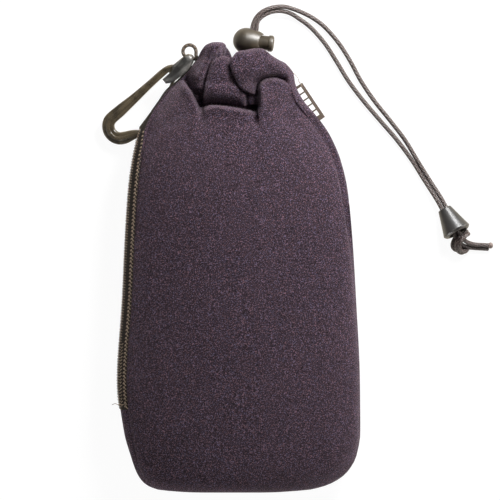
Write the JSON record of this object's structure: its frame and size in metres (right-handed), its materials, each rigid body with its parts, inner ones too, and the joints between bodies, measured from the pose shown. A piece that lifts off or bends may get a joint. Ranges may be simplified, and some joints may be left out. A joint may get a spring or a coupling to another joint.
{
  "type": "drawstring pouch",
  "caption": "Padded fabric pouch gathered by a drawcord, with a sprung cord lock, a bell-shaped cord end and a snap hook on a side loop.",
  "frame": {"origin": "on the flat underside of the back panel, in the middle of the body", "axes": "+X to the right seen from the front, +Y towards the mouth, +Z out of the front panel, away from the surface it lies on"},
  "size_m": [0.1962, 0.2439, 0.0314],
  "materials": {
    "neoprene": "matt knitted face on foam, fine specks",
    "label_ribbon": "tight woven ribbon, folded double",
    "loop_cord": "fine braided cord",
    "drawcord": "round braid with light flecks",
    "lock_plastic": "satin moulded plastic",
    "cord_end_plastic": "polished moulded plastic",
    "hook_plastic": "satin moulded plastic",
    "cuff_plastic": "smooth moulded plastic",
    "spring_steel": "drawn spring wire"
  },
  "bodies": {
    "pouch": {"front_panel": "neoprene", "back_panel": "neoprene", "side_label": "label_ribbon", "hook_loop": "loop_cord", "drawcord_casing_run": "drawcord", "cord_upper": "drawcord", "cord_lower": "drawcord", "cord_knot": "drawcord"},
    "lock": {"lock_barrel": "lock_plastic", "lock_spring": "spring_steel"},
    "plunger": {"lock_plunger": "lock_plastic"},
    "bell": {"cord_bell": "cord_end_plastic"},
    "hook": {"hook_body": "hook_plastic", "hook_cuff": "cuff_plastic"},
    "gate": {"hook_gate": "hook_plastic"}
  },
  "joints": [
    {"name": "lock_slide", "type": "slide", "parent": "pouch", "child": "lock", "axis": [0.1149, 0.9934, 0], "range_m": [0, 0.004]},
    {"name": "plunger_press", "type": "slide", "parent": "lock", "child": "plunger", "axis": [-0.9934, 0.1149, 0], "range_m": [0, 0.0024], "stiffness_N_per_m": 1500, "springref_m": -0.0015, "deforming": ["lock_spring"]},
    {"name": "bell_slide", "type": "slide", "parent": "pouch", "child": "bell", "axis": [-0.4692, 0.8641, -0.1822], "range_m": [0, 0.005]},
    {"name": "hook_swing", "type": "hinge", "parent": "pouch", "child": "hook", "pos_m": [-0.02525, 0.12425, 0.0148], "axis": [0, 0, 1], "range_deg": [-120, 0]},
    {"name": "gate_flex", "type": "hinge", "parent": "hook", "child": "gate", "pos_m": [-0.03322, 0.11023, 0.01249], "axis": [-0.1612, -0.1286, 0.9785], "range_deg": [-15, 0], "stiffness_Nm_per_rad": 0.3, "springref_deg": 4.58}
  ]
}
